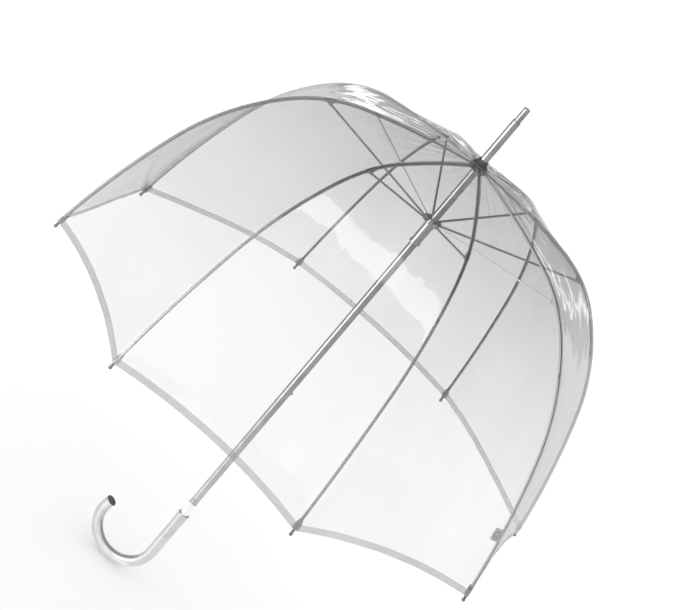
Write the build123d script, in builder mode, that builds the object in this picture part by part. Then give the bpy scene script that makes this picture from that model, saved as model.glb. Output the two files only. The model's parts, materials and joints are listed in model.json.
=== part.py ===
from build123d import *
import os
from math import atan2, cos, degrees, hypot, pi, radians, sin

# Clear bubble umbrella, open. Millimetres, +Z up along the shaft towards the ferrule.
# The origin is the middle of the handle's straight length, on the shaft's axis.
# The hook bends towards +X. Ribs are numbered anticlockwise seen from above, from azimuth 22.5.

# Driving dimensions
RIBS = 8
FIRST_AZIMUTH = 22.5
CROWN_Z = 714.0  # height of the rib pivots above the origin
RUNNER_Z = CROWN_Z - 98.7  # height of the stretcher pivots on the runner, open
PIVOT_RING = 11.0  # radius of both pivot wires

# A rib's centre line: tangent arcs (radius, length), all bending down, from the crown pivot
RIB_START_HEADING = -5.3
RIB_ARCS = [(1050, 164), (200, 102), (350, 161), (1170, 205)]
RIB_LENGTH = sum(length for radius, length in RIB_ARCS)
RIB_WIDTH = 3.2
RIB_DEPTH = 2.8
CHANNEL_WALL = 0.6
FLEX_INNER = 222.0  # arc length at which the inner span ends
FLEX_OUTER = 385.0  # arc length at which the middle span ends
SPAN_GAP = 0.5  # each span stops this far short of a flex point
CLIP_AT = 210.0  # arc length of the stretcher joint
CLIP_LENGTH = 16.0
CLIP_DROP = 4.8  # the joint's distance below the rib's centre line
CLIP_SHEET = 0.5
RIVET_RADIUS = 0.6
EYE_HOLE_RADIUS = 0.75
WIRE_RADIUS = 0.5
STRETCHER_WIDTH = 2.2
STRETCHER_DEPTH = 2.4
STRETCHER_SHORT = 1.3  # the stretcher's inner end stops this far from the runner wire
RIB_START = 1.5  # the channel starts this far from the crown pivot
RIB_EYE_RADIUS = 1.9
RIB_EYE_HALF = 1.2
STRETCHER_EYE_RADIUS = 1.8
CLIP_SIDE = RIB_WIDTH / 2 + 0.1  # inner face of the clip's ears from the rib's plane
CLIP_EAR_DROP = 3.4  # the clip's sides reach this much further down than the rib
CLIP_EAR_RADIUS = 2.2
CLIP_EAR_SPACE = 2.6  # clear radius between the ears for the stretcher's eye
RIVET_HEAD = 0.5
TIP_SLEEVE_RADIUS = 1.9
TIP_SLEEVE_LENGTH = 6.5
TIP_BALL_RADIUS = 2.4
TIP_BALL_AT = 6.2

# Film
FILM_OFFSET = 3.0  # inner face of the film above a rib's centre line
FILM_THICKNESS = 0.25
FILM_TOP = 4.5  # underside of the film's flat top above the crown pivots
FILM_EYELET_RADIUS = 6.4
HEM_AT = 631.0  # arc length of the hem's corners
HEM_RISE = 12.0  # the hem rises this much between two corners

# Shaft
SHAFT_RADIUS = 6.0
SHAFT_BORE = 5.2
SHAFT_TOP = CROWN_Z + 16.0
SHAFT_BOTTOM = 12.0
FERRULE_BASE = CROWN_Z + 13.0
FERRULE_SHOULDER = CROWN_Z + 82.7
FERRULE_TIP = CROWN_Z + 104.6
FERRULE_CAP_RADIUS = 4.75
FERRULE_CAP_EDGE = 0.8
FERRULE_EDGE = 0.6
FERRULE_PLUG = 14.0  # the ferrule's plug reaches this far into the shaft
FERRULE_SOCKET_RADIUS = 3.0
FERRULE_SOCKET_DEPTH = 12.0
SPIGOT_LENGTH = 11.5  # of the ferrule cap, in the ferrule's socket

# Crown and runner
CROWN_RADIUS = 13.0
CROWN_BOTTOM = -4.5
CROWN_TOP = 3.5
SLOT_WIDTH = 3.8
SLOT_FLOOR = 8.0  # radius at which the rib slots start
GROOVE_HALF = 0.7
RUNNER_BORE = 6.2
RUNNER_SLEEVE_RADIUS = 7.5
RUNNER_SLEEVE_LENGTH = 40.0
RUNNER_FLANGE_RADIUS = 14.0
RUNNER_FLANGE_HALF = 3.3
RUNNER_LIP = 0.9  # the ring at the sleeve's lower end stands this proud
RUNNER_LIP_HEIGHT = 4.0
SLOT_REACH = 20.0  # longer than any slot is deep
STOP_PIN_RADIUS = 1.0
STOP_PIN_PROUD = 1.6
STOP_PIN_Z = RUNNER_Z + RUNNER_FLANGE_HALF + 1.4
CAP_RADIUS = CROWN_RADIUS - 1.6
CAP_RIM = 1.2  # height of the cap's straight edge
CAP_SHOULDER = (2.6, 3.4)  # wider than the shaft, above the cap's base
CAP_NECK = 1.5
WASHER_RADIUS = CROWN_RADIUS - 1.2

# Spring catches, which stand out of the shaft on its -X side
CATCH_BELOW_PIVOT = 11.0
RUNNER_TRAVEL = 316.8
CATCH_WIDTH = 3.0
CATCH_STRIP = 0.6
CATCH_LENGTH = 42.0
CATCH_PROUD = 2.2
CATCH_NOSE = 8.0
CATCH_LEAF_X = -SHAFT_BORE + 0.35
CATCH_SLOT = (CATCH_WIDTH + 0.8, CATCH_NOSE + 6)
CATCH_WINDOW = (CATCH_WIDTH + 1.4, CATCH_NOSE + 2)

# Handle
HANDLE_TOP = 40.3
BEND_Z = -40.0
BEND_RADIUS = 48.0
BEND_SWEEP = 199.0
HANDLE_RADIUS = 8.35
HANDLE_NECK_RADIUS = 7.6
FERRULE_RING_RADIUS = 8.8
FERRULE_RING_LENGTH = 17.3
COLLAR_TOP = CROWN_Z - 651.3
COLLAR_RADIUS = 6.6
END_CAP_THICKNESS = 2.0
END_CAP_EDGE = 1.2

# Closing strap, above the hem beside rib 4
STRAP_RIB = 4
STRAP_AT = 536.0  # arc length of the strap's middle
STRAP_STANDOFF = 3.0  # from the rib's plane to the strap's edge
STRAP_CLEAR = 0.4  # above the film's outer face
STRAP_WIDTH = 16.0
STRAP_LENGTH = 18.0
STRAP_THICKNESS = 1.2
STRAP_CORNER = 2.0
SNAP_RADIUS = 5.0
SNAP_HEIGHT = 1.4
SNAP_EDGE = 0.5

os.makedirs("parts", exist_ok=True)


def save(builder, label):
    """Label a finished piece and write it as a STEP file."""
    builder.part.label = label
    export_step(builder.part, f"parts/{label}.step")


def azimuth_of(number):
    """The azimuth of a numbered rib, in degrees."""
    return FIRST_AZIMUTH + (number - 1) * 360.0 / RIBS


def radial_plane(azimuth, height=CROWN_Z):
    """A vertical plane through the shaft: local x is outward, local y is up."""
    a = radians(azimuth)
    return Plane(origin=(0, 0, height), x_dir=(cos(a), sin(a), 0), z_dir=(sin(a), -cos(a), 0))


def rib_at(along):
    """Outward distance, height from the crown pivots and heading in degrees, at an arc length."""
    x = PIVOT_RING
    z = 0.0
    heading = radians(RIB_START_HEADING)
    for radius, length in RIB_ARCS:
        step = min(length, along)
        turned = heading - step / radius
        x += radius * (sin(heading) - sin(turned))
        z += radius * (cos(turned) - cos(heading))
        heading = turned
        along -= step
        if along <= 0:
            break
    return x, z, degrees(heading)


def above_rib(along, offset):
    """A point of the rib's plane, offset outwards from the rib's centre line."""
    x, z, heading = rib_at(along)
    return x - offset * sin(radians(heading)), z + offset * cos(radians(heading))


def section_plane(plane, x, z, heading):
    """A cross-section of a bar in a radial plane: local x is the bar's upper side."""
    a = radians(heading)
    origin = plane.from_local_coords(Vector(x, z, 0))
    along = plane.from_local_coords(Vector(x + cos(a), z + sin(a), 0)) - origin
    upper = plane.from_local_coords(Vector(x - sin(a), z + cos(a), 0)) - origin
    return Plane(origin=origin, x_dir=upper, z_dir=along)


def channel(width, depth, wall):
    """A channel section, open on its lower side, in the sketch of the caller."""
    Rectangle(depth, width)
    with Locations((-wall, 0)):
        Rectangle(depth, width - 2 * wall, mode=Mode.SUBTRACT)


def rib_span(plane, first, last):
    """A fluted length of a rib between two arc lengths."""
    with BuildPart() as span:
        with BuildLine(plane):
            start = 0.0
            for radius, length in RIB_ARCS:
                low = max(first, start)
                high = min(last, start + length)
                start += length
                if high - low > 0.01:
                    x, z, heading = rib_at(low)
                    tangent = (cos(radians(heading)), sin(radians(heading)))
                    JernArc((x, z), tangent, radius, -degrees((high - low) / radius))
        with BuildSketch(section_plane(plane, *rib_at(first))):
            channel(RIB_WIDTH, RIB_DEPTH, CHANNEL_WALL)
        sweep()
    return span.part


# Shaft and what is fixed to it
catch_heights = [RUNNER_Z - CATCH_BELOW_PIVOT, RUNNER_Z - CATCH_BELOW_PIVOT - RUNNER_TRAVEL]
with BuildPart() as shaft_tube:
    with BuildSketch(Plane.XY.offset(SHAFT_BOTTOM)):
        Circle(SHAFT_RADIUS)
        Circle(SHAFT_BORE, mode=Mode.SUBTRACT)
    extrude(amount=SHAFT_TOP - SHAFT_BOTTOM)
    for height in catch_heights:
        with BuildSketch(Plane.YZ):
            with Locations((0, height)):
                Rectangle(*CATCH_SLOT)
        extrude(amount=-2 * SHAFT_RADIUS, mode=Mode.SUBTRACT)
    with BuildSketch(Plane.XZ):
        with Locations((0, STOP_PIN_Z)):
            Circle(STOP_PIN_RADIUS)
    extrude(amount=2 * SHAFT_RADIUS, both=True, mode=Mode.SUBTRACT)
save(shaft_tube, "shaft_tube")

with BuildPart() as stop_pin:
    with BuildSketch(Plane.XZ):
        with Locations((0, STOP_PIN_Z)):
            Circle(STOP_PIN_RADIUS)
    extrude(amount=SHAFT_RADIUS + STOP_PIN_PROUD, both=True)
    fillet(stop_pin.edges().filter_by(GeomType.CIRCLE), 0.4 * STOP_PIN_RADIUS)
save(stop_pin, "stop_pin")

with BuildPart() as ferrule:
    with BuildSketch(Plane.XZ):
        with BuildLine():
            Polyline(
                (0, SHAFT_TOP - FERRULE_PLUG),
                (SHAFT_BORE, SHAFT_TOP - FERRULE_PLUG),
                (SHAFT_BORE, SHAFT_TOP),
                (SHAFT_RADIUS, SHAFT_TOP),
                (SHAFT_RADIUS, FERRULE_SHOULDER - FERRULE_EDGE),
                (SHAFT_RADIUS - FERRULE_EDGE, FERRULE_SHOULDER),
                (FERRULE_SOCKET_RADIUS, FERRULE_SHOULDER),
                (FERRULE_SOCKET_RADIUS, FERRULE_SHOULDER - FERRULE_SOCKET_DEPTH),
                (0, FERRULE_SHOULDER - FERRULE_SOCKET_DEPTH),
                close=True,
            )
        make_face()
    revolve(axis=Axis.Z)
save(ferrule, "ferrule")

with BuildPart() as ferrule_cap:
    with BuildSketch(Plane.XY.offset(FERRULE_SHOULDER)):
        Circle(FERRULE_CAP_RADIUS)
    extrude(amount=FERRULE_TIP - FERRULE_SHOULDER)
    fillet(ferrule_cap.edges().filter_by(GeomType.CIRCLE).group_by(Axis.Z)[-1], FERRULE_CAP_EDGE)
    with BuildSketch(Plane.XY.offset(FERRULE_SHOULDER)):
        Circle(FERRULE_SOCKET_RADIUS)
    extrude(amount=-SPIGOT_LENGTH)
save(ferrule_cap, "ferrule_cap")

# Crown: a slotted disc whose wire carries the ribs, with the film clamped on top of it
with BuildPart() as top_notch:
    with BuildSketch(Plane.XY.offset(CROWN_Z + CROWN_BOTTOM)):
        Circle(CROWN_RADIUS)
        Circle(SHAFT_RADIUS, mode=Mode.SUBTRACT)
    extrude(amount=CROWN_TOP - CROWN_BOTTOM)
    with BuildSketch(Plane.XY.offset(CROWN_Z + CROWN_BOTTOM)):
        with PolarLocations(SLOT_FLOOR + SLOT_REACH / 2, RIBS, start_angle=FIRST_AZIMUTH):
            Rectangle(SLOT_REACH, SLOT_WIDTH)
    extrude(amount=CROWN_TOP - CROWN_BOTTOM, mode=Mode.SUBTRACT)
    with BuildSketch(Plane.XY.offset(CROWN_Z - WIRE_RADIUS)):
        Circle(PIVOT_RING + GROOVE_HALF)
        Circle(PIVOT_RING - GROOVE_HALF, mode=Mode.SUBTRACT)
    extrude(amount=CROWN_TOP + WIRE_RADIUS, mode=Mode.SUBTRACT)
save(top_notch, "top_notch")

with BuildPart() as notch_wire:
    with BuildSketch(Plane.XZ):
        with Locations((PIVOT_RING, CROWN_Z)):
            Circle(WIRE_RADIUS)
    revolve(axis=Axis.Z)
save(notch_wire, "notch_wire")

with BuildPart() as canopy_washer:
    with BuildSketch(Plane.XY.offset(CROWN_Z + CROWN_TOP)):
        Circle(WASHER_RADIUS)
        Circle(SHAFT_RADIUS, mode=Mode.SUBTRACT)
    extrude(amount=FILM_TOP - CROWN_TOP)
save(canopy_washer, "canopy_washer")

cap_base = CROWN_Z + FILM_TOP + FILM_THICKNESS
with BuildPart() as top_cap:
    with BuildSketch(Plane.XZ):
        with BuildLine():
            Polyline(
                (SHAFT_RADIUS, cap_base),
                (CAP_RADIUS, cap_base),
                (CAP_RADIUS, cap_base + CAP_RIM),
                (SHAFT_RADIUS + CAP_SHOULDER[0], cap_base + CAP_SHOULDER[1]),
                (SHAFT_RADIUS + CAP_NECK, FERRULE_BASE),
                (SHAFT_RADIUS, FERRULE_BASE),
                close=True,
            )
        make_face()
    revolve(axis=Axis.Z)
save(top_cap, "top_cap")

# Film: eight panels, each straight across from rib to rib, joined along the rib planes
half_gore = pi / RIBS
film_stations = [45, 90, 135, 175, 210, 245, 280, 325, 375, 430, 500, 570, RIB_LENGTH]


def film_line(offset, top):
    """The film's face in the middle of a panel, from the flat top to below the hem."""
    points = [above_rib(along, offset) for along in film_stations]
    return [(0, top), (CROWN_RADIUS * cos(half_gore), top)], [
        (x * cos(half_gore), z) for x, z in points
    ]


inner_flat, inner_curve = film_line(FILM_OFFSET, FILM_TOP)
outer_flat, outer_curve = film_line(FILM_OFFSET + FILM_THICKNESS, FILM_TOP + FILM_THICKNESS)
hem_x, hem_z = rib_at(HEM_AT)[:2]
half_chord = hem_x * sin(half_gore)
reach = 600.0  # wider and deeper than the dome
side = reach * sin(half_gore) / cos(half_gore)

with BuildPart() as gore:
    with BuildSketch(Plane.XZ):
        with BuildLine():
            Polyline(*inner_flat, inner_curve[0])
            Spline(*inner_curve)
            Line(inner_curve[-1], outer_curve[-1])
            Spline(*outer_curve)
            Polyline(outer_curve[0], *reversed(outer_flat))
            Line(outer_flat[0], inner_flat[0])
        make_face()
    extrude(amount=reach / 2, both=True)
    with BuildSketch(Plane.XY):
        with BuildLine():
            Polyline((0, 0), (reach, -side), (reach, side), close=True)
        make_face()
    extrude(amount=2 * reach, both=True, mode=Mode.INTERSECT)
    with BuildSketch(Plane.YZ):
        with BuildLine():
            ThreePointArc((-half_chord, hem_z), (0, hem_z + HEM_RISE), (half_chord, hem_z))
            Polyline(
                (half_chord, hem_z),
                (reach, hem_z),
                (reach, -reach - half_chord),
                (-reach, -reach - half_chord),
                (-reach, hem_z),
                (-half_chord, hem_z),
            )
        make_face()
    extrude(amount=reach, mode=Mode.SUBTRACT)

with BuildPart() as canopy:
    with Locations((0, 0, CROWN_Z)):
        for number in range(RIBS):
            add(gore.part, rotation=(0, 0, number * 360.0 / RIBS))
    with BuildSketch(Plane.XY.offset(CROWN_Z)):
        Circle(FILM_EYELET_RADIUS)
    extrude(amount=2 * FILM_TOP, mode=Mode.SUBTRACT)
save(canopy, "canopy")

# Runner: a slotted flange on a sleeve, with its wire and the catch window
with BuildPart() as runner:
    with BuildSketch(Plane.XY.offset(RUNNER_Z - RUNNER_FLANGE_HALF)):
        Circle(RUNNER_FLANGE_RADIUS)
    extrude(amount=2 * RUNNER_FLANGE_HALF)
    with BuildSketch(Plane.XY.offset(RUNNER_Z - RUNNER_SLEEVE_LENGTH)):
        Circle(RUNNER_SLEEVE_RADIUS)
    extrude(amount=RUNNER_SLEEVE_LENGTH)
    with BuildSketch(Plane.XY.offset(RUNNER_Z - RUNNER_SLEEVE_LENGTH)):
        Circle(RUNNER_SLEEVE_RADIUS + RUNNER_LIP)
    extrude(amount=RUNNER_LIP_HEIGHT)
    with BuildSketch(Plane.XY.offset(RUNNER_Z - RUNNER_FLANGE_HALF)):
        with PolarLocations(SLOT_FLOOR + SLOT_REACH / 2, RIBS, start_angle=FIRST_AZIMUTH):
            Rectangle(SLOT_REACH, SLOT_WIDTH)
    extrude(amount=2 * RUNNER_FLANGE_HALF, mode=Mode.SUBTRACT)
    with BuildSketch(Plane.XY.offset(RUNNER_Z - WIRE_RADIUS)):
        Circle(PIVOT_RING + GROOVE_HALF)
        Circle(PIVOT_RING - GROOVE_HALF, mode=Mode.SUBTRACT)
    extrude(amount=RUNNER_FLANGE_HALF + WIRE_RADIUS, mode=Mode.SUBTRACT)
    with BuildSketch(Plane.XY.offset(RUNNER_Z - RUNNER_SLEEVE_LENGTH)):
        Circle(RUNNER_BORE)
    extrude(amount=RUNNER_SLEEVE_LENGTH + RUNNER_FLANGE_HALF, mode=Mode.SUBTRACT)
    with BuildSketch(Plane.YZ):
        with Locations((0, RUNNER_Z - CATCH_BELOW_PIVOT)):
            Rectangle(*CATCH_WINDOW)
    extrude(amount=-2 * RUNNER_SLEEVE_RADIUS, mode=Mode.SUBTRACT)
save(runner, "runner")

with BuildPart() as runner_wire:
    with BuildSketch(Plane.XZ):
        with Locations((PIVOT_RING, RUNNER_Z)):
            Circle(WIRE_RADIUS)
    revolve(axis=Axis.Z)
save(runner_wire, "runner_wire")

# Spring catches: a leaf inside the shaft with a wedge that stands out of its slot
for label, height in zip(("top_spring", "bottom_spring"), catch_heights):
    nose_x = -SHAFT_RADIUS - CATCH_PROUD
    with BuildPart() as spring:
        with BuildSketch(Plane.XZ):
            with BuildLine():
                Polyline(
                    (CATCH_LEAF_X + CATCH_STRIP, height - CATCH_LENGTH),
                    (CATCH_LEAF_X, height - CATCH_LENGTH),
                    (CATCH_LEAF_X, height - CATCH_NOSE / 2),
                    (nose_x, height + CATCH_NOSE / 2 - 1.5),
                    (nose_x, height + CATCH_NOSE / 2),
                    (CATCH_LEAF_X + CATCH_STRIP, height + CATCH_NOSE / 2),
                    close=True,
                )
            make_face()
        extrude(amount=CATCH_WIDTH / 2, both=True)
    save(spring, label)

# Handle
with BuildPart() as handle_collar:
    with BuildSketch(Plane.XY.offset(HANDLE_TOP)):
        Circle(COLLAR_RADIUS)
        Circle(SHAFT_RADIUS, mode=Mode.SUBTRACT)
    extrude(amount=COLLAR_TOP - HANDLE_TOP)
    chamfer(handle_collar.edges().group_by(Axis.Z)[-1], 0.25)
save(handle_collar, "handle_collar")

with BuildPart() as handle_ferrule:
    with BuildSketch(Plane.XY.offset(HANDLE_TOP)):
        Circle(FERRULE_RING_RADIUS)
        Circle(HANDLE_NECK_RADIUS, mode=Mode.SUBTRACT)
    extrude(amount=-FERRULE_RING_LENGTH)
    chamfer(handle_ferrule.edges().group_by(Axis.Z)[-1], 0.4)
save(handle_ferrule, "handle_ferrule")

neck_bottom = HANDLE_TOP - FERRULE_RING_LENGTH
bend_end_turn = BEND_SWEEP - 180.0
hook_end = Plane(
    origin=(
        BEND_RADIUS + BEND_RADIUS * cos(radians(bend_end_turn)),
        0,
        BEND_Z + BEND_RADIUS * sin(radians(bend_end_turn)),
    ),
    z_dir=(-sin(radians(bend_end_turn)), 0, cos(radians(bend_end_turn))),
)
with BuildPart() as handle_grip:
    with BuildSketch(Plane.XY.offset(HANDLE_TOP)):
        Circle(HANDLE_NECK_RADIUS)
    extrude(amount=-FERRULE_RING_LENGTH)
    with BuildLine():
        Line((0, 0, neck_bottom), (0, 0, BEND_Z))
        ThreePointArc(
            (0, 0, BEND_Z),
            (BEND_RADIUS, 0, BEND_Z - BEND_RADIUS),
            hook_end.origin,
        )
    with BuildSketch(Plane.XY.offset(neck_bottom)):
        Circle(HANDLE_RADIUS)
    sweep()
    with BuildSketch(Plane.XY.offset(HANDLE_TOP)):
        Circle(SHAFT_RADIUS)
    extrude(amount=SHAFT_BOTTOM - HANDLE_TOP, mode=Mode.SUBTRACT)
save(handle_grip, "handle_grip")

with BuildPart() as handle_end_cap:
    with BuildSketch(hook_end):
        Circle(HANDLE_RADIUS)
    extrude(amount=END_CAP_THICKNESS)
    end_rims = handle_end_cap.edges().filter_by(GeomType.CIRCLE)
    fillet(end_rims.sort_by_distance(hook_end.origin)[-1], END_CAP_EDGE)
save(handle_end_cap, "handle_end_cap")

# Ribs, joint clips, stretchers and tips
joint_x, joint_z = above_rib(CLIP_AT, -CLIP_DROP)
runner_drop = RUNNER_Z - CROWN_Z
stretcher_length = hypot(joint_x - PIVOT_RING, joint_z - runner_drop)
stretcher_heading = degrees(atan2(runner_drop - joint_z, PIVOT_RING - joint_x))
clip_x, clip_z, clip_heading = rib_at(CLIP_AT)
tip_x, tip_z, tip_heading = rib_at(RIB_LENGTH)
ball_x = tip_x + TIP_BALL_AT * cos(radians(tip_heading))
ball_z = tip_z + TIP_BALL_AT * sin(radians(tip_heading))

for number in range(1, RIBS + 1):
    plane = radial_plane(azimuth_of(number))

    with BuildPart() as rib_inner:
        add(rib_span(plane, RIB_START, FLEX_INNER - SPAN_GAP))
        with BuildSketch(plane):
            with Locations((PIVOT_RING, 0)):
                Circle(RIB_EYE_RADIUS)
        extrude(amount=RIB_EYE_HALF, both=True)
        with BuildSketch(plane):
            with Locations((PIVOT_RING, 0)):
                Circle(EYE_HOLE_RADIUS)
        extrude(amount=RIB_WIDTH, both=True, mode=Mode.SUBTRACT)
        # Joint clip: a folded sheet over the rib, with two ears for the rivet
        clip_plane = section_plane(plane, clip_x, clip_z, clip_heading)
        with BuildSketch(clip_plane.offset(-CLIP_LENGTH / 2)):
            with Locations((RIB_DEPTH / 2 + 0.1 + CLIP_SHEET / 2, 0)):
                Rectangle(CLIP_SHEET, 2 * (CLIP_SIDE + CLIP_SHEET))
            for side in (-1, 1):
                with Locations((0.1 - CLIP_EAR_DROP / 2, side * (CLIP_SIDE + CLIP_SHEET / 2))):
                    Rectangle(RIB_DEPTH + CLIP_EAR_DROP, CLIP_SHEET)
        extrude(amount=CLIP_LENGTH)
        with BuildSketch(plane):
            with Locations((joint_x, joint_z)):
                Circle(CLIP_EAR_RADIUS)
        extrude(amount=CLIP_SIDE + CLIP_SHEET, both=True)
        with BuildSketch(plane):
            with Locations((joint_x, joint_z)):
                Circle(CLIP_EAR_SPACE)
        extrude(amount=CLIP_SIDE, both=True, mode=Mode.SUBTRACT)
        with BuildSketch(plane):
            with Locations((joint_x, joint_z)):
                Circle(RIVET_RADIUS)
        extrude(amount=CLIP_SIDE + CLIP_SHEET + RIVET_HEAD, both=True)
    save(rib_inner, f"rib_inner_{number}")

    with BuildPart() as rib_middle:
        add(rib_span(plane, FLEX_INNER + SPAN_GAP, FLEX_OUTER - SPAN_GAP))
    save(rib_middle, f"rib_middle_{number}")

    with BuildPart() as rib_outer:
        add(rib_span(plane, FLEX_OUTER + SPAN_GAP, RIB_LENGTH))
    save(rib_outer, f"rib_outer_{number}")

    with BuildPart() as rib_tip:
        with BuildSketch(section_plane(plane, tip_x, tip_z, tip_heading)):
            Circle(TIP_SLEEVE_RADIUS)
        extrude(amount=TIP_SLEEVE_LENGTH)
        with Locations(plane.from_local_coords(Vector(ball_x, ball_z, 0))):
            Sphere(TIP_BALL_RADIUS)
    save(rib_tip, f"rib_tip_{number}")

    with BuildPart() as stretcher:
        with BuildSketch(section_plane(plane, joint_x, joint_z, stretcher_heading)):
            channel(STRETCHER_WIDTH, STRETCHER_DEPTH, CHANNEL_WALL)
        extrude(amount=stretcher_length - STRETCHER_SHORT)
        with BuildSketch(plane):
            with Locations((joint_x, joint_z)):
                Circle(STRETCHER_EYE_RADIUS)
        extrude(amount=STRETCHER_WIDTH / 2, both=True)
        with BuildSketch(plane):
            with Locations((joint_x, joint_z)):
                Circle(EYE_HOLE_RADIUS)
        extrude(amount=RIB_WIDTH, both=True, mode=Mode.SUBTRACT)
    save(stretcher, f"stretcher_{number}")

# Closing strap: a short tab with a snap, outside the film beside its rib
strap_plane = radial_plane(azimuth_of(STRAP_RIB))
strap_x, strap_z = above_rib(STRAP_AT, FILM_OFFSET + FILM_THICKNESS)
strap_heading = rib_at(STRAP_AT)[2]
along_film = section_plane(strap_plane, strap_x, strap_z, strap_heading).z_dir
panel_azimuth = radians(azimuth_of(STRAP_RIB) - 180.0 / RIBS)
across_film = Vector(sin(panel_azimuth), -cos(panel_azimuth), 0)
out_of_film = along_film.cross(across_film).normalized() * -1
strap_base = strap_plane.from_local_coords(Vector(strap_x, strap_z, 0))
strap_middle = strap_base + across_film * (STRAP_STANDOFF + STRAP_WIDTH / 2)
with BuildPart() as closure_strap:
    origin = strap_middle + out_of_film * STRAP_CLEAR
    with BuildSketch(Plane(origin=origin, x_dir=across_film, z_dir=out_of_film)):
        RectangleRounded(STRAP_WIDTH, STRAP_LENGTH, STRAP_CORNER)
    extrude(amount=STRAP_THICKNESS)
save(closure_strap, "closure_strap")

with BuildPart() as strap_snap:
    origin = strap_middle + out_of_film * (STRAP_CLEAR + STRAP_THICKNESS)
    with BuildSketch(Plane(origin=origin, x_dir=across_film, z_dir=out_of_film)):
        Circle(SNAP_RADIUS)
    extrude(amount=SNAP_HEIGHT)
    fillet(strap_snap.edges().filter_by(GeomType.CIRCLE), SNAP_EDGE)
save(strap_snap, "strap_snap")

print("rib length", RIB_LENGTH, "stretcher", round(stretcher_length, 2))
print("joint", round(joint_x, 3), round(joint_z, 3), "heading", round(stretcher_heading, 3))
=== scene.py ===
"""Looks of the clear bubble umbrella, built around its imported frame. Metres, in the row frame."""

import bpy
import json
from math import cos, exp, hypot, pi, radians, sin, sqrt
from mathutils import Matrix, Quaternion, Vector, noise

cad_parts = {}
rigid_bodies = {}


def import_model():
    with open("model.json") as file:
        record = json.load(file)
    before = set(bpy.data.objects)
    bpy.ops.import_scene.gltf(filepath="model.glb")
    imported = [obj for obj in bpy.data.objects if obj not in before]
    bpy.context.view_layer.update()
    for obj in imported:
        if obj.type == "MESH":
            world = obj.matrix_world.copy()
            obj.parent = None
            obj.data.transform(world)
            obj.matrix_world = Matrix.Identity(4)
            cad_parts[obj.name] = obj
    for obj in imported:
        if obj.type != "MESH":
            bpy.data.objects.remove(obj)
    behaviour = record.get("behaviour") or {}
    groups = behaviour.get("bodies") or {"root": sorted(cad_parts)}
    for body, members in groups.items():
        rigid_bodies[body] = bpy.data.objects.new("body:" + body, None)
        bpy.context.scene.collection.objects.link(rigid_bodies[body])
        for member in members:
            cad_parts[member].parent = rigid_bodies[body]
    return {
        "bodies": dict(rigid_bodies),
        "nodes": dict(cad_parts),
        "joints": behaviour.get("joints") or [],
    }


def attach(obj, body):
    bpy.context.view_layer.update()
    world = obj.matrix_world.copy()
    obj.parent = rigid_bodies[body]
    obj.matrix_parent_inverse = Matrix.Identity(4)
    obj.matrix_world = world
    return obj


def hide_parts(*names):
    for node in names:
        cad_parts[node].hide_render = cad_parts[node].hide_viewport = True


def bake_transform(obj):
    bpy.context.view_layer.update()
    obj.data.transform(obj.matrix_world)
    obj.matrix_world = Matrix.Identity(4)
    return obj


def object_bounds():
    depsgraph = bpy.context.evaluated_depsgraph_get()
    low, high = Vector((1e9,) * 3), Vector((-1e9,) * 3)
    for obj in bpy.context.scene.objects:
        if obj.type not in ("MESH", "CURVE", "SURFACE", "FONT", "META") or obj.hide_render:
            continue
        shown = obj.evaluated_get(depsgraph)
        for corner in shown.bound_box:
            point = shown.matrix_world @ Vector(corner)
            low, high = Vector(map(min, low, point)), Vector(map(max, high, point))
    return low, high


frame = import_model()
cad_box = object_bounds()
joints = {joint["name"]: joint for joint in frame["joints"]}
scene = bpy.context.scene
MM = 0.001

# A rib's centre line: tangent arcs (radius, length) from the crown pivot, all bending down
RIBS = 8
FIRST_AZIMUTH = radians(22.5)
HALF_GORE = pi / RIBS
RIB_START_HEADING = radians(-5.3)
RIB_ARCS = [(1.050, 0.164), (0.200, 0.102), (0.350, 0.161), (1.170, 0.205)]
RIB_LENGTH = sum(length for radius, length in RIB_ARCS)
CROWN_Z = joints["rib_1_fold"]["pos_m"][2]
PIVOT_RING = hypot(*joints["rib_1_fold"]["pos_m"][:2])
RIB_HALF_WIDTH = 1.6 * MM
RIB_HALF_DEPTH = 1.4 * MM
RIB_WALL = 0.6 * MM
RIB_START = 1.5 * MM
RIB_SPLIT = 0.310  # arc length where a rib's upper and lower pieces meet
RIB_RING_GAP = 0.005  # greatest distance between the rings of a rib's mesh
INNER_FLEX = (0.198, 0.262)  # arc lengths between which a rib unbends
OUTER_FLEX = (0.345, 0.425)

# Film
FILM_OFFSET = 3.12 * MM  # middle of the film above a rib's centre line
FILM_TOP = 4.62 * MM  # middle of the film above the crown pivots, under the cap
FILM_START = 6.5 * MM - PIVOT_RING  # arc length of the film's eyelet
CAP_EDGE = 3.0 * MM  # arc length to which the film lies flat under the cap
CROWN_BLEND = 0.045  # arc length by which the film is down to its height over the ribs
HEM_AT = 0.631
HEM_RISE = 12.2 * MM
GORE_COLUMNS = 30
FILM_ROWS = 124
ROW_POWER = 0.9  # below 1, the film's rows lie closer together towards the hem
SAG_SHARE = 0.020  # inward sag of a panel, as a share of its width
SAG_START = (0.02, 0.15)  # arc lengths over which the sag begins
CAP_EASE = 0.2 * MM  # the film's extra rise just outside the cap
EDGE_POWER = 7  # a panel's normals turn to its ribs' only close to them


# ---------------------------------------------------------------- rib curve


def rib_at(along):
    """Outward distance, height above the crown pivots and heading of a rib, at an arc length."""
    if along < 0:
        return PIVOT_RING + along, 0.0, RIB_START_HEADING
    x, z, heading = PIVOT_RING, 0.0, RIB_START_HEADING
    for radius, length in RIB_ARCS:
        step = min(length, along)
        turned = heading - step / radius
        x += radius * (sin(heading) - sin(turned))
        z += radius * (cos(turned) - cos(heading))
        heading = turned
        along -= step
        if along <= 0:
            break
    x += along * cos(heading)
    z += along * sin(heading)
    return x, z, heading


GORE_WIDTH = 2 * rib_at(HEM_AT)[0] * sin(HALF_GORE)


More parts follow.
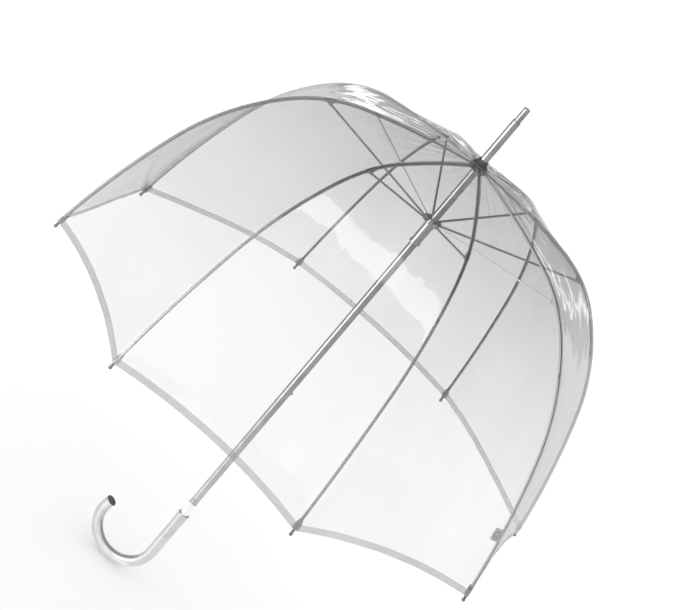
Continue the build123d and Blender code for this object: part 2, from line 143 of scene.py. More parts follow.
def azimuth_of(number):
    """The azimuth of a numbered rib."""
    return FIRST_AZIMUTH + (number - 1) * 2 * pi / RIBS


def rib_point(number, along, upward=0.0, sideways=0.0):
    """A point near a rib: upward is towards the film, sideways is anticlockwise from above."""
    x, z, heading = rib_at(along)
    azimuth = azimuth_of(number)
    outward = x - upward * sin(heading)
    return Vector(
        (
            outward * cos(azimuth) - sideways * sin(azimuth),
            outward * sin(azimuth) + sideways * cos(azimuth),
            CROWN_Z + z + upward * cos(heading),
        )
    )


def smooth(value, low, high):
    """0 before low, 1 after high, and smooth between them."""
    t = min(1.0, max(0.0, (value - low) / (high - low)))
    return t * t * (3 - 2 * t)


def hump(value, middle, spread):
    """A rounded hump of height 1 about its middle."""
    return exp(-(((value - middle) / spread) ** 2))


def field(x, y, z):
    """Smooth noise about zero at a place."""
    return noise.noise(Vector((x, y, z)))


# ---------------------------------------------------------------- mesh helpers

LATHE_STEPS = 20


def new_mesh(name, points, faces, shading=True):
    """A mesh object from points and faces, linked to the scene."""
    mesh = bpy.data.meshes.new(name)
    mesh.from_pydata([tuple(p) for p in points], [], faces)
    mesh.validate()
    mesh.update()
    if shading:
        mesh.polygons.foreach_set("use_smooth", [True] * len(mesh.polygons))
    obj = bpy.data.objects.new(name, mesh)
    scene.collection.objects.link(obj)
    return obj


def tube_faces(rings, size, closed_path=False):
    """Faces of a row of rings with size points each, capped unless the path is closed."""
    faces = []
    steps = rings - 1
    if closed_path:
        steps = rings
    for i in range(steps):
        following = (i + 1) % rings
        for j in range(size):
            k = (j + 1) % size
            faces.append((i * size + j, i * size + k, following * size + k, following * size + j))
    if not closed_path:
        faces.append(tuple(range(size - 1, -1, -1)))
        faces.append(tuple((rings - 1) * size + j for j in range(size)))
    return faces


def lathe(name, profile, centre, axis):
    """A closed profile of (radius, place along the axis) turned about an axis."""
    axis = Vector(axis).normalized()
    side = axis.orthogonal().normalized()
    other = axis.cross(side)
    points = []
    for i in range(LATHE_STEPS):
        turn = 2 * pi * i / LATHE_STEPS
        out = side * cos(turn) + other * sin(turn)
        points += [Vector(centre) + out * radius + axis * place for radius, place in profile]
    faces = tube_faces(LATHE_STEPS, len(profile), closed_path=True)
    return crisp(new_mesh(name, points, faces))


def crisp(obj):
    """Flat stretches look flat under smooth shading: normals are weighted by face area."""
    normals = obj.modifiers.new("normals", "WEIGHTED_NORMAL")
    normals.keep_sharp = True
    return obj


# ---------------------------------------------------------------- materials


class Look:
    """A procedural material: one Principled shader with nodes for its surface detail."""

    def __init__(self, name, roughness, metallic=0.0, **sockets):
        self.material = bpy.data.materials.new(name)
        self.material.use_nodes = True
        self.tree = self.material.node_tree
        self.shader = self.tree.nodes["Principled BSDF"]
        self.output = self.tree.nodes["Material Output"]
        self.shader.inputs["Roughness"].default_value = roughness
        self.shader.inputs["Metallic"].default_value = metallic
        for key, value in sockets.items():
            self.shader.inputs[key.replace("_", " ")].default_value = value
        self.place = self.node("ShaderNodeTexCoord").outputs["Object"]

    def node(self, kind, **inputs):
        made = self.tree.nodes.new(kind)
        for key, value in inputs.items():
            made.inputs[key.replace("_", " ")].default_value = value
        return made

    def link(self, source, target):
        self.tree.links.new(source, target)

    def stretched(self, scale):
        """Object coordinates scaled along each axis."""
        mapping = self.node("ShaderNodeMapping", Scale=scale)
        self.link(self.place, mapping.inputs["Vector"])
        return mapping.outputs["Vector"]

    def noise(self, scale, detail=3.0, roughness=0.5, stretch=(1, 1, 1)):
        made = self.node("ShaderNodeTexNoise", Scale=scale, Detail=detail, Roughness=roughness)
        self.link(self.stretched(stretch), made.inputs["Vector"])
        return made.outputs["Fac"]

    def ramp(self, factor, stops):
        """A colour by place on a ramp: stops are (position, colour)."""
        made = self.node("ShaderNodeValToRGB")
        made.color_ramp.elements[0].position = stops[0][0]
        made.color_ramp.elements[1].position = stops[-1][0]
        for position, colour in stops[1:-1]:
            made.color_ramp.elements.new(position)
        for element, (position, colour) in zip(made.color_ramp.elements, stops):
            element.position = position
            element.color = (*colour, 1)
        self.link(factor, made.inputs["Fac"])
        return made.outputs["Color"]

    def colour(self, factor, stops):
        self.link(self.ramp(factor, stops), self.shader.inputs["Base Color"])

    def roughness(self, factor, low, high):
        made = self.node("ShaderNodeMapRange", From_Min=0.3, From_Max=0.7, To_Min=low, To_Max=high)
        self.link(factor, made.inputs["Value"])
        self.link(made.outputs["Result"], self.shader.inputs["Roughness"])

    def bump(self, height, distance, strength=1.0):
        made = self.node("ShaderNodeBump", Strength=strength, Distance=distance)
        self.link(height, made.inputs["Height"])
        self.link(made.outputs["Normal"], self.shader.inputs["Normal"])

    def maths(self, operation, first, second):
        """An operation on a value and a second value, or a plain number."""
        made = self.node("ShaderNodeMath")
        made.operation = operation
        self.link(first, made.inputs[0])
        if isinstance(second, float):
            made.inputs[1].default_value = second
        else:
            self.link(second, made.inputs[1])
        return made.outputs["Value"]

    def mixed_surface(self, factor, first, second):
        """The surface shows the first shader, and the second one as the factor grows."""
        mix = self.node("ShaderNodeMixShader")
        self.link(factor, mix.inputs["Fac"])
        self.link(first, mix.inputs[1])
        self.link(second, mix.inputs[2])
        self.link(mix.outputs["Shader"], self.output.inputs["Surface"])


def drawn_tube(name, dark, light, roughness, streak=700.0):
    """Plated drawn tube: fine lines along Z, faint stains and handling marks."""
    look = Look(name, roughness, metallic=1.0)
    lines = look.noise(streak, detail=2.0, stretch=(1, 1, 0.02))
    marks = look.noise(38.0, detail=6.0, roughness=0.65)
    look.colour(marks, [(0.35, dark), (0.6, light)])
    look.roughness(marks, roughness * 0.75, roughness * 1.5)
    look.bump(lines, 0.00002, 0.5)
    return look.material


def dark_steel(name, dark, light, roughness):
    """Plated spring steel of a rib or a stretcher, duller in places."""
    look = Look(name, roughness, metallic=1.0)
    wear = look.noise(95.0, detail=5.0, roughness=0.6)
    look.colour(wear, [(0.3, dark), (0.62, light)])
    look.roughness(wear, roughness * 0.8, roughness * 1.35)
    look.bump(look.noise(1500.0, detail=2.0), 0.00002, 0.4)
    return look.material


def moulded(name, dark, light, roughness, **sockets):
    """Moulded plastic: a faint mottled colour and a fine leathery bump."""
    look = Look(name, roughness, **sockets)
    look.colour(look.noise(120.0, detail=4.0), [(0.35, dark), (0.65, light)])
    look.roughness(look.noise(260.0), roughness * 0.85, roughness * 1.25)
    look.bump(look.noise(900.0, detail=3.0), 0.00003, 0.5)
    return look.material


def satin_silver():
    """The handle's satin silver lacquer, with a fine orange peel and a few rubbed spots."""
    look = Look("satin_silver", 0.3, metallic=0.85)
    rubbed = look.noise(26.0, detail=8.0, roughness=0.7)
    dark, middle, light = (0.50, 0.51, 0.52), (0.60, 0.61, 0.62), (0.66, 0.67, 0.68)
    look.colour(rubbed, [(0.32, dark), (0.5, middle), (0.7, light)])
    look.roughness(rubbed, 0.24, 0.38)
    look.bump(look.noise(520.0, detail=2.0), 0.00004, 0.35)
    return look.material


GLOSS_RISE = 3.5  # how a thin sheet's reflection grows from facing to grazing
SHADE_HEIGHTS = (0.25, 0.715)  # heights between which the film's painted shade deepens
# painted shade: the film's see-through colour darkens with height, most at the crown
CROWN_SHADE = [(0.0, (1, 1, 1)), (0.45, (0.94,) * 3), (0.75, (0.86,) * 3), (1.0, (0.74,) * 3)]


def clear_film(name, tint_low, tint_high, gloss, base, metallic=0.85, roughness=0.05):
    """Clear film: a faint tint, with painted shade that deepens towards the crown, seen through a
    gloss.

    gloss is the share of the surface that doesn't see through, (facing, at grazing angles).
    """
    look = Look(name, roughness, metallic=metallic)
    cloud = look.noise(7.0, detail=5.0, roughness=0.55)
    streaks = look.noise(42.0, detail=3.0, stretch=(1, 1, 0.18))
    look.colour(cloud, [(0.3, [share * 0.96 for share in base]), (0.7, base)])
    look.roughness(look.noise(30.0, detail=4.0), roughness * 0.7, roughness * 1.6)
    look.bump(streaks, 0.0009, 0.8)
    clear = look.node("ShaderNodeBsdfTransparent")
    height = look.node("ShaderNodeSeparateXYZ")
    look.link(look.place, height.inputs["Vector"])
    low, high = SHADE_HEIGHTS
    rising = look.node("ShaderNodeMapRange", From_Min=low, From_Max=high)
    look.link(height.outputs["Z"], rising.inputs["Value"])
    # the film's own cloudy tint, times the painted shade by height
    tint_and_shade = look.node("ShaderNodeVectorMath")
    tint_and_shade.operation = "MULTIPLY"
    look.link(look.ramp(cloud, [(0.3, tint_low), (0.7, tint_high)]), tint_and_shade.inputs[0])
    look.link(look.ramp(rising.outputs["Result"], CROWN_SHADE), tint_and_shade.inputs[1])
    look.link(tint_and_shade.outputs["Vector"], clear.inputs["Color"])
    edge = look.node("ShaderNodeLayerWeight", Blend=0.5)
    rise = look.maths("POWER", edge.outputs["Facing"], GLOSS_RISE)
    share = look.node("ShaderNodeMapRange", To_Min=gloss[0], To_Max=gloss[1])
    look.link(rise, share.inputs["Value"])
    look.mixed_surface(share.outputs["Result"], clear.outputs["BSDF"], look.shader.outputs["BSDF"])
    return look.material


# How bright mirrors see the floor, as (position, level): by azimuth, and from its edge inward
MIRROR_SIDES = [(0.0, 0.26), (0.25, 0.34), (0.54, 0.24), (0.60, 0.85), (0.66, 0.85)]
MIRROR_SIDES += [(0.72, 0.30), (1.0, 0.26)]
MIRROR_MIDDLE = [(0.0, 0.0), (0.35, 0.42), (0.8, 0.55)]
MIDDLE_RADIUS = 1.1
MIRROR_STRENGTH = 2.0


def grey_stops(levels):
    """Ramp stops of grey colours from (position, level) pairs."""
    return [(position, (level,) * 3) for position, level in levels]


def floor_look():
    """A matt pale floor, which only mirrors see brighter in its middle and on one side."""
    look = Look("studio_floor", 0.9)
    look.colour(look.noise(3.0), [(0.3, (0.95, 0.95, 0.95)), (0.7, (0.97, 0.97, 0.97))])
    around = look.node("ShaderNodeTexGradient")
    around.gradient_type = "RADIAL"
    look.link(look.place, around.inputs["Vector"])
    middle = look.node("ShaderNodeTexGradient")
    middle.gradient_type = "SPHERICAL"
    look.link(look.stretched((1 / MIDDLE_RADIUS,) * 3), middle.inputs["Vector"])
    sides = look.ramp(around.outputs["Fac"], grey_stops(MIRROR_SIDES))
    centre = look.ramp(middle.outputs["Fac"], grey_stops(MIRROR_MIDDLE))
    level = look.maths("MULTIPLY", look.maths("MAXIMUM", sides, centre), MIRROR_STRENGTH)
    shown = look.node("ShaderNodeEmission")
    look.link(level, shown.inputs["Strength"])
    path = look.node("ShaderNodeLightPath").outputs["Is Glossy Ray"]
    look.mixed_surface(path, look.shader.outputs["BSDF"], shown.outputs["Emission"])
    return look.material


chrome = drawn_tube("shaft_chrome", (0.44, 0.445, 0.45), (0.56, 0.565, 0.57), 0.16)
end_chrome = drawn_tube("ferrule_end", (0.36, 0.37, 0.38), (0.48, 0.49, 0.50), 0.26)
collar_chrome = drawn_tube("collar_chrome", (0.86, 0.86, 0.87), (0.93, 0.93, 0.94), 0.10)
rib_steel = dark_steel("rib_steel", (0.34, 0.345, 0.35), (0.48, 0.485, 0.49), 0.40)
stretcher_steel = dark_steel("stretcher_steel", (0.38, 0.385, 0.39), (0.52, 0.525, 0.53), 0.36)
tip_metal = dark_steel("tip_metal", (0.15, 0.15, 0.155), (0.24, 0.24, 0.245), 0.4)
spring_steel = dark_steel("spring_steel", (0.42, 0.42, 0.43), (0.56, 0.56, 0.57), 0.25)
snap_metal = dark_steel("snap_metal", (0.45, 0.45, 0.46), (0.62, 0.62, 0.63), 0.25)
silver = satin_silver()
black_plastic = moulded("dark_plastic", (0.035, 0.035, 0.037), (0.06, 0.06, 0.063), 0.32)
end_plastic = moulded("handle_end", (0.05, 0.05, 0.052), (0.085, 0.085, 0.088), 0.45)
# The runner's slot is called runner_plastic, and it is shown plated
runner_plate = drawn_tube("runner_plastic", (0.56, 0.565, 0.57), (0.68, 0.685, 0.69), 0.2, 300.0)
strap_plastic = moulded("strap", (0.36, 0.37, 0.375), (0.44, 0.45, 0.455), 0.42, Alpha=0.85)
washer_plastic = moulded("clear_plastic", (0.7, 0.71, 0.72), (0.8, 0.81, 0.82), 0.25, Alpha=0.5)
film = clear_film("clear_film", (0.93,) * 3, (0.96,) * 3, (0.065, 0.95), (0.90, 0.90, 0.91))
hem_film = clear_film(
    "hem_film", (0.86,) * 3, (0.91,) * 3, (0.22, 0.85), (0.66, 0.665, 0.67), 0.2, 0.3
)
seam_film = clear_film(
    "seam_film", (0.97,) * 3, (0.99,) * 3, (0.06, 0.6), (0.85, 0.855, 0.86), 0.7, 0.1
)
pocket_film = clear_film(
    "pocket_film", (0.74,) * 3, (0.80,) * 3, (0.28, 0.9), (0.50, 0.505, 0.51), 0.2, 0.3
)

CAD_LOOKS = {
    "shaft_tube": chrome,
    "stop_pin": chrome,
    "ferrule": chrome,
    "ferrule_cap": end_chrome,
    "top_cap": black_plastic,
    "top_notch": black_plastic,
    "canopy_washer": washer_plastic,
    "notch_wire": spring_steel,
    "runner_wire": spring_steel,
    "top_spring": spring_steel,
    "bottom_spring": spring_steel,
    "runner": runner_plate,
    "handle_collar": collar_chrome,
    "handle_ferrule": silver,
    "handle_grip": silver,
    "handle_end_cap": end_plastic,
    "closure_strap": strap_plastic,
    "strap_snap": snap_metal,
}
for number in range(1, RIBS + 1):
    CAD_LOOKS[f"stretcher_{number}"] = stretcher_steel
    CAD_LOOKS[f"rib_tip_{number}"] = tip_metal


def paint(obj, material):
    """Gives an object one material for all its faces."""
    obj.data.materials.clear()
    obj.data.materials.append(material)
    return obj


for node, material in CAD_LOOKS.items():
    paint(frame["nodes"][node], material)


# ---------------------------------------------------------------- ribs


def rib_section():
    """The fluted section of a rib, open on its lower side, as (upward, sideways).

    Its points are shares of the half width and half depth, and the wall keeps its thickness.
    """
    w, d, t = RIB_HALF_WIDTH, RIB_HALF_DEPTH, RIB_WALL
    outer = [(-d, -w), (0.5 * d, -w), (0.9 * d, -0.93 * w), (d, -0.72 * w), (d, 0.0)]
    inner = [(-d, t - w), (0.2 * d, t - w), (d - t, 0.45 * (t - w)), (d - t, 0.0)]
    outer += [(u, -s) for u, s in reversed(outer[:-1])]
    inner += [(u, -s) for u, s in reversed(inner[:-1])]
    return outer + list(reversed(inner))


def rib_piece(number, name, first, last):
    """A length of a fluted rib as one closed mesh."""
    section = rib_section()
    rings = int((last - first) / RIB_RING_GAP) + 2
    points = []
    for i in range(rings):
        along = first + (last - first) * i / (rings - 1)
        points += [rib_point(number, along, up, side) for up, side in section]
    obj = new_mesh(f"{name}_{number}", points, tube_faces(rings, len(section)))
    crisp(obj)
    return paint(obj, rib_steel)


CLIP_AT = 0.210
CLIP_HALF = 8.0 * MM
CLIP_SHEET = 0.5 * MM
CLIP_CLEAR = 0.1 * MM  # between the clip and the rib inside it
CLIP_DROP = 4.8 * MM  # the rivet's distance below the rib's centre line
CLIP_SKIRT = 2.0 * MM  # how far down the clip's ends reach
CLIP_STEPS = 12  # rings of the clip's mesh on each side of its middle
EAR_RADIUS = 2.2 * MM
EAR_EDGE = 2.1 * MM  # a ring of its own keeps the ear round here


def clip_lower_edge(place):
    """How far down the clip's sides reach: a round ear round the rivet, and short skirts."""
    if abs(place) < EAR_RADIUS:
        return -CLIP_DROP - sqrt(EAR_RADIUS**2 - place**2) * 0.98
    fade = smooth(abs(place), EAR_RADIUS, 2.4 * EAR_RADIUS)
    return -CLIP_DROP + (CLIP_DROP - CLIP_SKIRT) * fade


def joint_clip(number):
    """The folded sheet clip that joins a stretcher to its rib."""
    inside = RIB_HALF_WIDTH + CLIP_CLEAR
    outside = inside + CLIP_SHEET
    top = RIB_HALF_DEPTH + CLIP_CLEAR
    points = []
    places = {CLIP_HALF * (i / CLIP_STEPS - 1) for i in range(2 * CLIP_STEPS + 1)}
    places = sorted(places | {-EAR_EDGE, EAR_EDGE})
    for place in places:
        low = clip_lower_edge(place)
        half = [(low, outside), (top, outside)]
        half += [(top + 0.8 * CLIP_SHEET, outside - 0.2 * CLIP_SHEET)]
        half += [(top + CLIP_SHEET, inside - CLIP_SHEET)]
        back = [(top, inside - CLIP_SHEET), (top - 0.3 * CLIP_SHEET, inside), (low, inside)]
        section = [(u, -s) for u, s in half] + [(u, s) for u, s in reversed(half)]
        section += [(u, s) for u, s in reversed(back)] + [(u, -s) for u, s in back]
        points += [rib_point(number, CLIP_AT + place, up, side) for up, side in section]
    obj = new_mesh(f"joint_clip_{number}", points, tube_faces(len(places), len(section)))
    crisp(obj)
    return paint(obj, rib_steel)


def rib_axis(number):
    """The direction of a rib's hinge pins."""
    return Vector((-sin(azimuth_of(number)), cos(azimuth_of(number)), 0))


def rivet(number):
    """The rivet through the clip's ears, with two domed heads. Its profile is in millimetres."""
    reach = (RIB_HALF_WIDTH + CLIP_CLEAR + CLIP_SHEET) / MM
    half = [(0.6, 0.0), (0.6, reach), (1.35, reach), (1.2, reach + 0.35)]
    half += [(0.7, reach + 0.55), (0.01, reach + 0.6)]
    profile = [(r * MM, -a * MM) for r, a in reversed(half)]
    profile += [(r * MM, a * MM) for r, a in half[1:]]
    centre = rib_point(number, CLIP_AT, -CLIP_DROP)
    obj = lathe(f"rivet_{number}", profile, centre, rib_axis(number))
    return paint(obj, stretcher_steel)


def rib_eye(number):
    """The pierced eye at a rib's inner end, on the crown's wire. Its profile is in millimetres."""
    profile = [(0.75, -1.0), (0.95, -1.2), (1.7, -1.2), (1.9, -1.0), (1.9, 1.0), (1.7, 1.2)]
    profile += [(0.95, 1.2), (0.75, 1.0)]
    profile = [(r * MM, a * MM) for r, a in profile]
    obj = lathe(f"rib_eye_{number}", profile, rib_point(number, 0.0), rib_axis(number))
    return paint(obj, rib_steel)


def make_rib(number):
    """One rib's upper and lower pieces, fixed in place, and its clip, rivet and eye, which ride on
    its inner body.
    """
    inner, middle, outer = (f"{part}_{number}" for part in ("inner", "middle", "outer"))
    upper = rib_piece(number, "rib_upper", RIB_START, RIB_SPLIT)
    lower = rib_piece(number, "rib_lower", RIB_SPLIT, RIB_LENGTH)
    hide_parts(f"rib_inner_{number}", f"rib_middle_{number}")
    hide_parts(f"rib_outer_{number}")
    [rib_point(number, along) for along in INNER_FLEX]
    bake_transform(upper)
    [rib_point(number, along) for along in OUTER_FLEX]
    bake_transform(lower)
    for piece in (joint_clip(number), rivet(number), rib_eye(number)):
        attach(piece, inner)


for number in range(1, RIBS + 1):
    make_rib(number)


# ---------------------------------------------------------------- film surface


GATHER_AT = 0.075  # arc length where the film is gathered most
GATHER_SPREAD = 0.055
FOLDS_START = (0.012, 0.05)  # arc lengths over which the folds begin, outside the cap
CRUMPLE_AT = 0.20  # arc length of the crumples over the stretcher joints
CRUMPLE_SPREAD = 0.05
CRUMPLE_OVER_JOINTS = 0.8
CRUMPLE_IN_PATCHES = 0.9
CREASES = ((0.165, 0.35), (0.345, 0.25), (0.52, 0.2))  # (arc length, height in millimetres)
CREASE_SPREAD = 0.0035
CREASE_WANDER = 0.004
# Heights of the other folds, in millimetres
GATHER_HEIGHT = 2.6
LONG_FOLD_HEIGHT = 1.1
RIDGE_HEIGHT = 0.35
WAVE_HEIGHT = 2.2
CRUMPLE_HEIGHT = 0.8


def hem_place(across):
    """Arc length of the hem: it rises in the middle of each panel."""
    return HEM_AT - HEM_RISE * (1 - across**2)


def crumples(gore, along):
    """How much a panel's film is crumpled, from 0: over its stretcher joints, and in patches."""
    joints_share = hump(along, CRUMPLE_AT, CRUMPLE_SPREAD) * CRUMPLE_OVER_JOINTS
    patch = field(along * 13, gore * 4.7, 0.3)
    return max(0.0, joints_share + patch * CRUMPLE_IN_PATCHES)


def wrinkles(gore, across, along):
    """Height of the film's folds above its panel, zero at the ribs.

    Noise is coarse where its place is scaled little, and the panel's number moves it.
    """
    x = across * (rib_at(along)[0] * sin(HALF_GORE))
    pleats = (1 - abs(field(across * 5.5 + 3.1 * gore, along * 5, 1.7 * gore))) ** 7
    pleats += 0.6 * field(across * 13, along * 9, 5.3 * gore)
    gathered = hump(along, GATHER_AT, GATHER_SPREAD)
    long_folds = field(x * 30 + 2 * gore, along * 7, 7.7 * gore)
    ridge = (1 - abs(field(x * 60 + along * 12, along * 11, 9.1 * gore))) ** 8
    wave = field(x * 9, along * 10, 2.9 * gore + 0.5)
    crumple = field(x * 75, along * 60, 3.3 * gore) * smooth(crumples(gore, along), 0, 1)
    crease = 0.0
    for place, height in CREASES:
        wander = CREASE_WANDER * field(x * 12, place * 31, gore)
        crease += height * hump(along - place, wander, CREASE_SPREAD)
    folds = GATHER_HEIGHT * gathered * pleats + LONG_FOLD_HEIGHT * long_folds
    folds = folds + RIDGE_HEIGHT * ridge + WAVE_HEIGHT * wave + crease
    folds += CRUMPLE_HEIGHT * crumple
    return MM * smooth(along, *FOLDS_START) * sqrt(1 - across**2) * folds


def film_point(gore, across, along, lift=0.0):
    """A point of the film. across runs from -1 at rib number gore to 1 at the next one."""
    crown_lift = FILM_TOP - FILM_OFFSET + CAP_EASE
    offset = FILM_OFFSET + crown_lift * (1 - smooth(along, CAP_EDGE, CROWN_BLEND))
    x, z, heading = rib_at(along)
    x -= offset * sin(heading)
    z += offset * cos(heading)
    if along < CAP_EDGE:
        z = FILM_TOP
    middle = azimuth_of(gore) + HALF_GORE
    chord = x * sin(HALF_GORE)
    height = wrinkles(gore, across, along)
    height -= SAG_SHARE * 2 * chord * (1 - across**2) * smooth(along, *SAG_START)
    side = chord * across
    flat = x * cos(HALF_GORE)
    point = Vector(
        (
            flat * cos(middle) - side * sin(middle),
            flat * sin(middle) + side * cos(middle),
            CROWN_Z + z,
        )
    )
    facing = middle + HALF_GORE * across**EDGE_POWER
    normal = Vector((-sin(heading) * cos(facing), -sin(heading) * sin(facing), cos(heading)))
    return point + normal * (height + lift)


def film_grid():
    """Places of the film's points: (gore, across, along), row by row round the dome."""
    gores = range(1, RIBS + 1)
    columns = [(gore, 2 * c / GORE_COLUMNS - 1) for gore in gores for c in range(GORE_COLUMNS)]
    places = []
    for row in range(FILM_ROWS + 1):
        share = (row / FILM_ROWS) ** ROW_POWER
        for gore, across in columns:
            places.append((gore, across, FILM_START + (hem_place(across) - FILM_START) * share))
    return places, len(columns)


# ---------------------------------------------------------------- the film's rig

STEPS = 4  # bones from one body to the next
RIBS_LEAD = 0.020  # arc length from which the film wholly follows the ribs
BONE_LENGTH = 0.05
LEAST_WEIGHT = 0.001
RIGID_STRIP = 4.5 * MM  # the film beside a rib that keeps its place on it
PLEAT_STRIP = RIGID_STRIP * 0.6  # the film beside a rib that stays out of the pleat
PLEAT_DEPTH = 0.24  # depth of a folded panel's pleat, as a share of the panel's width
PLEAT_POWER = 1.2  # above 1, a pleat's sides are flatter near the ribs
PLEAT_START = (0.02, 0.10)  # arc lengths over which the pleats begin


def bone_pairs(number):
    """The stretches over which the film passes from one body to the next, down a rib."""
    return [
        ("shaft", f"inner_{number}", (CAP_EDGE, RIBS_LEAD)),
        (f"inner_{number}", f"middle_{number}", INNER_FLEX),
        (f"middle_{number}", f"outer_{number}", OUTER_FLEX),
    ]


def step_bone(first, second, step):
    """The bone a number of steps from one body's bone towards the next one's."""
    return {0: first, STEPS: second}.get(step, f"{first}-{second}-{step}")


def new_armature(name, bones):
    """An armature whose bones all stand at the origin."""
    data = bpy.data.armatures.new(name)
    obj = bpy.data.objects.new(name, data)
    scene.collection.objects.link(obj)
    bpy.context.view_layer.objects.active = obj
    bpy.ops.object.mode_set(mode="EDIT")
    for bone_name in bones:
        bone = data.edit_bones.new(bone_name)
        bone.head = (0, 0, 0)
        bone.tail = (0, BONE_LENGTH, 0)
    bpy.ops.object.mode_set(mode="OBJECT")
    return obj


def make_rig():
    """Bones that follow the bodies, and bones between them that turn part of the way."""
    pairs = [pair for number in range(1, RIBS + 1) for pair in bone_pairs(number)]
    bodies = sorted({name for first, second, stretch in pairs for name in (first, second)})
    between = [(a, b, step) for a, b, stretch in pairs for step in range(1, STEPS)]
    rig = new_armature("canopy_rig", bodies + [step_bone(*entry) for entry in between])
    for name in bodies:
        follow = rig.pose.bones[name].constraints.new("COPY_TRANSFORMS")
        follow.target = frame["bodies"][name]
    for first, second, step in between:
        mix = rig.pose.bones[step_bone(first, second, step)].constraints.new("ARMATURE")
        mix.use_deform_preserve_volume = True
        for name, weight in ((first, 1 - step / STEPS), (second, step / STEPS)):
            target = mix.targets.new()
            target.target = rig
            target.subtarget = name
            target.weight = weight
    return rig


def flex_share(along, stretch):
    start, end = (rib_point(1, place) for place in stretch)
    point = rib_point(1, along)
    chord = end - start
    return smooth((point - start).dot(chord) / chord.length_squared, 0.0, 1.0)


def rib_weights(number, along):
    """Bone weights of a point on a rib's line."""
    name, stage = "shaft", None
    for first, second, stretch in bone_pairs(number):
        if first == "shaft":
            share = smooth(along, *stretch)
        else:
            share = flex_share(along, stretch)
        if share > 0:
            name, stage = second, (first, second, share)
    if stage is None or stage[2] >= 1:
        return {name: 1.0}
    first, second, share = stage
    step = min(STEPS - 1, int(share * STEPS))
    rest = share * STEPS - step
    return {step_bone(first, second, step): 1 - rest, step_bone(first, second, step + 1): rest}


def from_ribs(across, along):
    """A panel's width at an arc length, and a point's distance from the panel's first rib."""
    width = 2 * max(rib_at(along)[0] * sin(HALF_GORE), MM)
    return width, width * (1 + across) / 2


def film_weights(gore, across, along):
    """Bone weights of a point of the film, shared between the ribs on its two sides."""
    width, place = from_ribs(across, along)
    strip = min(RIGID_STRIP, width / 4)
    second = min(1.0, max(0.0, (place - strip) / (width - 2 * strip)))
    weights = {}
    for number, share in ((gore, 1 - second), (gore % RIBS + 1, second)):
        for name, weight in rib_weights(number, along).items():
            weights[name] = weights.get(name, 0.0) + weight * share
    return weights


def pleat_share(across, along):
    """How far a point of a panel moves out as the panel folds into a pleat, 0 to 1."""
    width, place = from_ribs(across, along)
    strip = min(PLEAT_STRIP, width / 4)
    inward = min(place, width - place)
    t = max(0.0, (inward - strip) / (width / 2 - strip))
    profile = sin(0.5 * pi * t) ** PLEAT_POWER
    return profile * width / GORE_WIDTH * smooth(along, *PLEAT_START)


def make_pleat_rig():
    """Bones that carry the middle of each panel outward while the runner slides down."""
    bones = ["still"] + [f"pleat_{gore}" for gore in range(1, RIBS + 1)]
    pleats = new_armature("pleat_rig", bones)
    depth = PLEAT_DEPTH * GORE_WIDTH
    for gore in range(1, RIBS + 1):
        push = pleats.pose.bones[f"pleat_{gore}"].constraints.new("TRANSFORM")
        push.target = frame["bodies"]["runner"]
        push.map_from = "LOCATION"
        push.map_to = "LOCATION"
        push.map_to_x_from = "Z"
        push.map_to_y_from = "Z"
        push.from_min_z = -joints["runner_slide"]["range_m"][1]
        push.from_max_z = 0.0
        middle = azimuth_of(gore) + HALF_GORE
        push.to_min_x = depth * cos(middle)
        push.to_min_y = depth * sin(middle)
    return pleats


rig = make_rig()
pleat_rig = make_pleat_rig()


def rigged(obj, places):
    """Binds a film piece to the rig, so that it folds with the ribs, and rides it on the shaft."""
    groups = {}
    for index, (gore, across, along) in enumerate(places):
        out = pleat_share(across, along)
        shares = film_weights(gore, across, along)
        shares |= {f"pleat_{gore}": out, "still": 1 - out}
        for name, weight in shares.items():
            if weight > LEAST_WEIGHT:
                groups.setdefault(name, []).append((index, weight))
    for name, entries in groups.items():
        group = obj.vertex_groups.new(name=name)
        for index, weight in entries:
            group.add([index], weight, "REPLACE")
    armature = obj.modifiers.new("fold", "ARMATURE")
    armature.object = rig
    pleat = obj.modifiers.new("pleat", "ARMATURE")
    pleat.object = pleat_rig
    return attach(obj, "shaft")


# ---------------------------------------------------------------- film pieces


def make_canopy():
    """The film dome as one continuous sheet, open at its eyelet and at its hem."""
    places, columns = film_grid()
    points = [film_point(*place) for place in places]
    faces = []
    for row in range(FILM_ROWS):
        here = row * columns
        below = here + columns
        for c in range(columns):
            following = (c + 1) % columns
            faces.append((here + c, below + c, below + following, here + following))
    obj = new_mesh("film_canopy", points, faces)
    paint(obj, film)
    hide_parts("canopy")
    return rigged(obj, places)


HEM_BAND = 9.0 * MM
HEM_SECTION = [  # (above the hem, out of the film), in millimetres
    (9.0, 0.20),
    (8.4, 0.55),
    (7.6, 0.40),
    (0.4, 0.45),
    (-0.3, 0.25),
    (-0.3, -0.25),
    (0.4, -0.45),
    (7.6, -0.40),
    (8.4, -0.55),
    (9.0, -0.20),
]


def make_hem():
    """The hem: the film's edge turned back over itself and welded."""
    places, points = [], []
    for gore in range(1, RIBS + 1):
        for c in range(GORE_COLUMNS * 2):
            across = c / GORE_COLUMNS - 1
            for above, out in HEM_SECTION:
                place = (gore, across, hem_place(across) - above * MM)
                places.append(place)
                points.append(film_point(*place, lift=out * MM))
    rings = RIBS * GORE_COLUMNS * 2
    obj = new_mesh("hem_band", points, tube_faces(rings, len(HEM_SECTION), closed_path=True))
    paint(obj, hem_film)
    return rigged(obj, places)


SEAM_HALF = 1.9 * MM
SEAM_ROWS = 110
SEAM_ENDS = (0.012, HEM_AT - HEM_BAND)
# (share of the half width, millimetres out of the film)
SEAM_SECTION = [(-1, 0.10), (-1, 0.26), (-0.5, 0.36), (0, 0.38), (0.5, 0.36), (1, 0.26), (1, 0.10)]
LEAST_CHORD = 4 * MM


def beside_rib(number, along, sideways):
    """The film's (gore, across, along) a small distance to one side of a rib."""
    chord = max(rib_at(along)[0] * sin(HALF_GORE), LEAST_CHORD)
    if sideways >= 0:
        return number, -1 + sideways / chord, along
    return (number - 2) % RIBS + 1, 1 + sideways / chord, along


